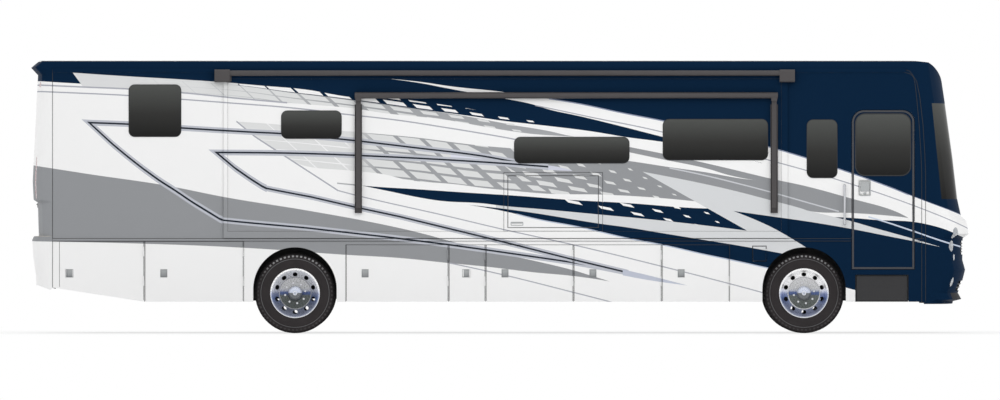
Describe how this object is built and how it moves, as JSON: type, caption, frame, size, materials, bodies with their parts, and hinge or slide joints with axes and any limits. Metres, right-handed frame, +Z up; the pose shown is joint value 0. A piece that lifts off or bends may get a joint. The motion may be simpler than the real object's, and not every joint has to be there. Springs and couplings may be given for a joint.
{
  "type": "motorhome",
  "caption": "Class A motorhome on a rear-engined coach chassis with slide-out room, entry door, luggage bays, awning and steered front wheels.",
  "frame": {"origin": "on the ground under the middle of the vehicle's length and width", "axes": "+X towards the front of the vehicle, +Y to its left, +Z up"},
  "size_m": [11.5128, 2.6835, 3.342],
  "materials": {
    "awning_metal": "satin",
    "bay_liner": "matte",
    "black_trim": "matte",
    "body_paint": "gloss",
    "cab_trim": "matte",
    "chassis_steel": "satin",
    "chrome": "polished",
    "clear_lens": "clear",
    "dark_glass": "tinted",
    "engine_iron": "rough",
    "floor_board": "matte",
    "red_lens": "gloss",
    "room_panel": "matte",
    "seat_leather": "soft",
    "tank_aluminium": "brushed",
    "tyre": "matte",
    "wheel_aluminium": "polished"
  },
  "bodies": {
    "coach": {"cab_seats": "seat_leather", "chassis_frame": "chassis_steel", "dashboard": "cab_trim", "engine": "engine_iron", "entry_stairwell": "black_trim", "floor": "floor_board", "front_axle": "chassis_steel", "front_cap": "body_paint", "front_grilles": "black_trim", "fuel_tank": "tank_aluminium", "grab_handle": "chrome", "headlamps": "clear_lens", "hitch_receiver": "chassis_steel", "left_skirt": "body_paint", "left_wall": "body_paint", "rear_axle": "chassis_steel", "rear_cap": "body_paint", "right_skirt": "body_paint", "right_wall": "body_paint", "roof": "body_paint", "seat_bases": "cab_trim", "side_windows": "dark_glass", "steering_wheel": "black_trim", "storage_bays": "bay_liner", "tail_lamps": "red_lens", "wheel_housings": "black_trim", "windshield": "dark_glass"},
    "right_bay_door_1": {"right_bay_door_1": "body_paint"},
    "right_bay_door_2": {"right_bay_door_2": "body_paint"},
    "right_bay_door_3": {"right_bay_door_3": "body_paint"},
    "right_bay_door_4": {"right_bay_door_4": "body_paint"},
    "right_bay_door_5": {"right_bay_door_5": "body_paint"},
    "right_bay_door_6": {"right_bay_door_6": "body_paint"},
    "right_bay_door_7": {"right_bay_door_7": "body_paint"},
    "left_bay_door_1": {"left_bay_door_1": "body_paint"},
    "left_bay_door_2": {"left_bay_door_2": "body_paint"},
    "left_bay_door_3": {"left_bay_door_3": "body_paint"},
    "left_bay_door_4": {"left_bay_door_4": "body_paint"},
    "fuel_flap": {"fuel_flap": "body_paint"},
    "entry_door": {"entry_door": "body_paint", "entry_door_window": "dark_glass"},
    "entry_step": {"entry_step": "chassis_steel"},
    "slide_room": {"slide_room_wall": "body_paint", "slide_room_box": "room_panel", "slide_room_windows": "dark_glass", "patio_awning": "awning_metal", "slide_topper": "awning_metal"},
    "tv_hatch": {"tv_hatch": "body_paint"},
    "engine_door": {"engine_door": "body_paint"},
    "front_left_knuckle": {"front_left_knuckle": "chassis_steel"},
    "front_left_wheel": {"front_left_wheel": "wheel_aluminium", "front_left_tyre": "tyre"},
    "rear_left_wheels": {"rear_left_wheels": "wheel_aluminium", "rear_left_tyres": "tyre"},
    "front_right_knuckle": {"front_right_knuckle": "chassis_steel"},
    "front_right_wheel": {"front_right_wheel": "wheel_aluminium", "front_right_tyre": "tyre"},
    "rear_right_wheels": {"rear_right_wheels": "wheel_aluminium", "rear_right_tyres": "tyre"},
    "tie_rod": {"tie_rod": "chassis_steel"}
  },
  "joints": [
    {"name": "right_bay_door_1_hinge", "type": "hinge", "parent": "coach", "child": "right_bay_door_1", "pos_m": [-4.3535, -1.287, 0.75], "axis": [0, 0, 1], "range_deg": [0, 100]},
    {"name": "right_bay_door_2_hinge", "type": "hinge", "parent": "coach", "child": "right_bay_door_2", "pos_m": [-3.1395, -1.287, 0.75], "axis": [0, 0, 1], "range_deg": [0, 100]},
    {"name": "right_bay_door_3_hinge", "type": "hinge", "parent": "coach", "child": "right_bay_door_3", "pos_m": [-0.6375, -1.287, 0.75], "axis": [0, 0, 1], "range_deg": [0, 100]},
    {"name": "right_bay_door_4_hinge", "type": "hinge", "parent": "coach", "child": "right_bay_door_4", "pos_m": [-0.1855, -1.287, 0.75], "axis": [0, 0, 1], "range_deg": [0, 100]},
    {"name": "right_bay_door_5_hinge", "type": "hinge", "parent": "coach", "child": "right_bay_door_5", "pos_m": [0.8885, -1.287, 0.75], "axis": [0, 0, 1], "range_deg": [0, 100]},
    {"name": "right_bay_door_6_hinge", "type": "hinge", "parent": "coach", "child": "right_bay_door_6", "pos_m": [1.9665, -1.287, 0.75], "axis": [0, 0, 1], "range_deg": [0, 100]},
    {"name": "right_bay_door_7_hinge", "type": "hinge", "parent": "coach", "child": "right_bay_door_7", "pos_m": [2.7965, -1.287, 0.75], "axis": [0, 0, 1], "range_deg": [0, 100]},
    {"name": "left_bay_door_1_hinge", "type": "hinge", "parent": "coach", "child": "left_bay_door_1", "pos_m": [-0.6375, 1.287, 0.75], "axis": [0, 0, -1], "range_deg": [0, 100]},
    {"name": "left_bay_door_2_hinge", "type": "hinge", "parent": "coach", "child": "left_bay_door_2", "pos_m": [0.8885, 1.287, 0.75], "axis": [0, 0, -1], "range_deg": [0, 100]},
    {"name": "left_bay_door_3_hinge", "type": "hinge", "parent": "coach", "child": "left_bay_door_3", "pos_m": [1.9665, 1.287, 0.75], "axis": [0, 0, -1], "range_deg": [0, 100]},
    {"name": "left_bay_door_4_hinge", "type": "hinge", "parent": "coach", "child": "left_bay_door_4", "pos_m": [2.7965, 1.287, 0.75], "axis": [0, 0, -1], "range_deg": [0, 100]},
    {"name": "fuel_flap_hinge", "type": "hinge", "parent": "coach", "child": "fuel_flap", "pos_m": [3.2545, -1.287, 0.974], "axis": [0, 0, 1], "range_deg": [0, 100]},
    {"name": "entry_door_hinge", "type": "hinge", "parent": "coach", "child": "entry_door", "pos_m": [5.0655, -1.287, 1.7], "axis": [0, 0, 1], "range_deg": [0, 95]},
    {"name": "entry_step_slide", "type": "slide", "parent": "coach", "child": "entry_step", "axis": [0, -1, 0], "range_m": [0, 0.28]},
    {"name": "slide_room_slide", "type": "slide", "parent": "coach", "child": "slide_room", "axis": [0, -1, 0], "range_m": [0, 0.74]},
    {"name": "tv_hatch_hinge", "type": "hinge", "parent": "slide_room", "child": "tv_hatch", "pos_m": [0.649, -1.311, 1.9285], "axis": [-1, 0, 0], "range_deg": [0, 90]},
    {"name": "engine_door_hinge", "type": "hinge", "parent": "coach", "child": "engine_door", "pos_m": [-5.6814, 0, 1.5745], "axis": [0, 1, 0], "range_deg": [0, 80]},
    {"name": "steer_left", "type": "hinge", "parent": "coach", "child": "front_left_knuckle", "pos_m": [3.715, 0.9, 0.49], "axis": [0, 0, 1], "range_deg": [-40, 40]},
    {"name": "front_left_wheel_spin", "type": "hinge", "parent": "front_left_knuckle", "child": "front_left_wheel", "pos_m": [3.715, 1.04, 0.49], "axis": [0, 1, 0], "continuous": true},
    {"name": "rear_left_wheels_spin", "type": "hinge", "parent": "coach", "child": "rear_left_wheels", "pos_m": [-2.505, 0.938, 0.49], "axis": [0, 1, 0], "continuous": true},
    {"name": "steer_right", "type": "hinge", "parent": "coach", "child": "front_right_knuckle", "pos_m": [3.715, -0.9, 0.49], "axis": [0, 0, 1], "range_deg": [-40, 40]},
    {"name": "front_right_wheel_spin", "type": "hinge", "parent": "front_right_knuckle", "child": "front_right_wheel", "pos_m": [3.715, -1.04, 0.49], "axis": [0, 1, 0], "continuous": true},
    {"name": "rear_right_wheels_spin", "type": "hinge", "parent": "coach", "child": "rear_right_wheels", "pos_m": [-2.505, -0.938, 0.49], "axis": [0, 1, 0], "continuous": true},
    {"name": "tie_rod_pivot", "type": "hinge", "parent": "front_left_knuckle", "child": "tie_rod", "pos_m": [3.465, 0.9, 0.368], "axis": [0, 0, 1], "range_deg": [-40, 40]}
  ],
  "couplings": [
    {"joint": "steer_right", "follows": "steer_left", "ratio": 1},
    {"joint": "tie_rod_pivot", "follows": "steer_left", "ratio": -1}
  ]
}
